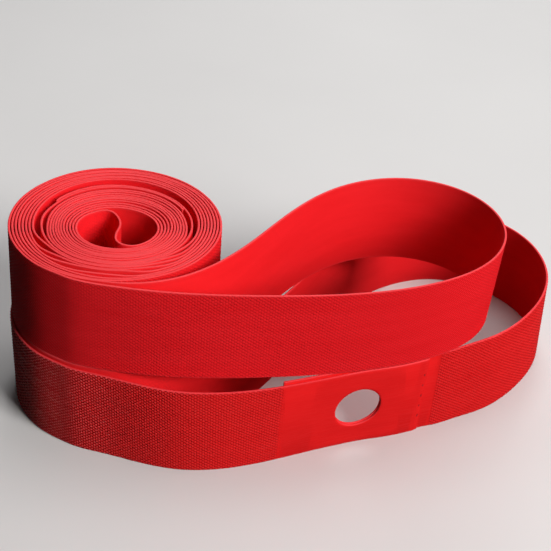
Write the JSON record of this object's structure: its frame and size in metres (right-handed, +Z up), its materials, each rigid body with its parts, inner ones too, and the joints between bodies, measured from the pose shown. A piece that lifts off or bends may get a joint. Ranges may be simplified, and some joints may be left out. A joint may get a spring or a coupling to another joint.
{
  "type": "pair of bicycle rim strips",
  "caption": "Pair of rolled bicycle rim strips standing on edge and stacked; each is an endless embossed tape with a spot-welded lap, a punched valve hole and a free loop.",
  "frame": {"origin": "on the table, in the middle of the pair's footprint", "axes": "+Z up along the roll's axis, +X from the roll along the loops, -Y towards the side that shows the valve hole"},
  "size_m": [0.102, 0.068, 0.036],
  "materials": {
    "embossed_tape": "soft satin, finely embossed on the outer face",
    "melted_spots": "melted and smooth"
  },
  "bodies": {
    "lower": {"lower_strip": "embossed_tape", "lower_weld_spots": "melted_spots"},
    "upper": {"upper_strip": "embossed_tape", "upper_weld_spots": "melted_spots"}
  },
  "joints": [
    {"name": "lift_off", "type": "slide", "parent": "lower", "child": "upper", "axis": [0, 0, 1], "range_m": [0, 0.04]}
  ]
}
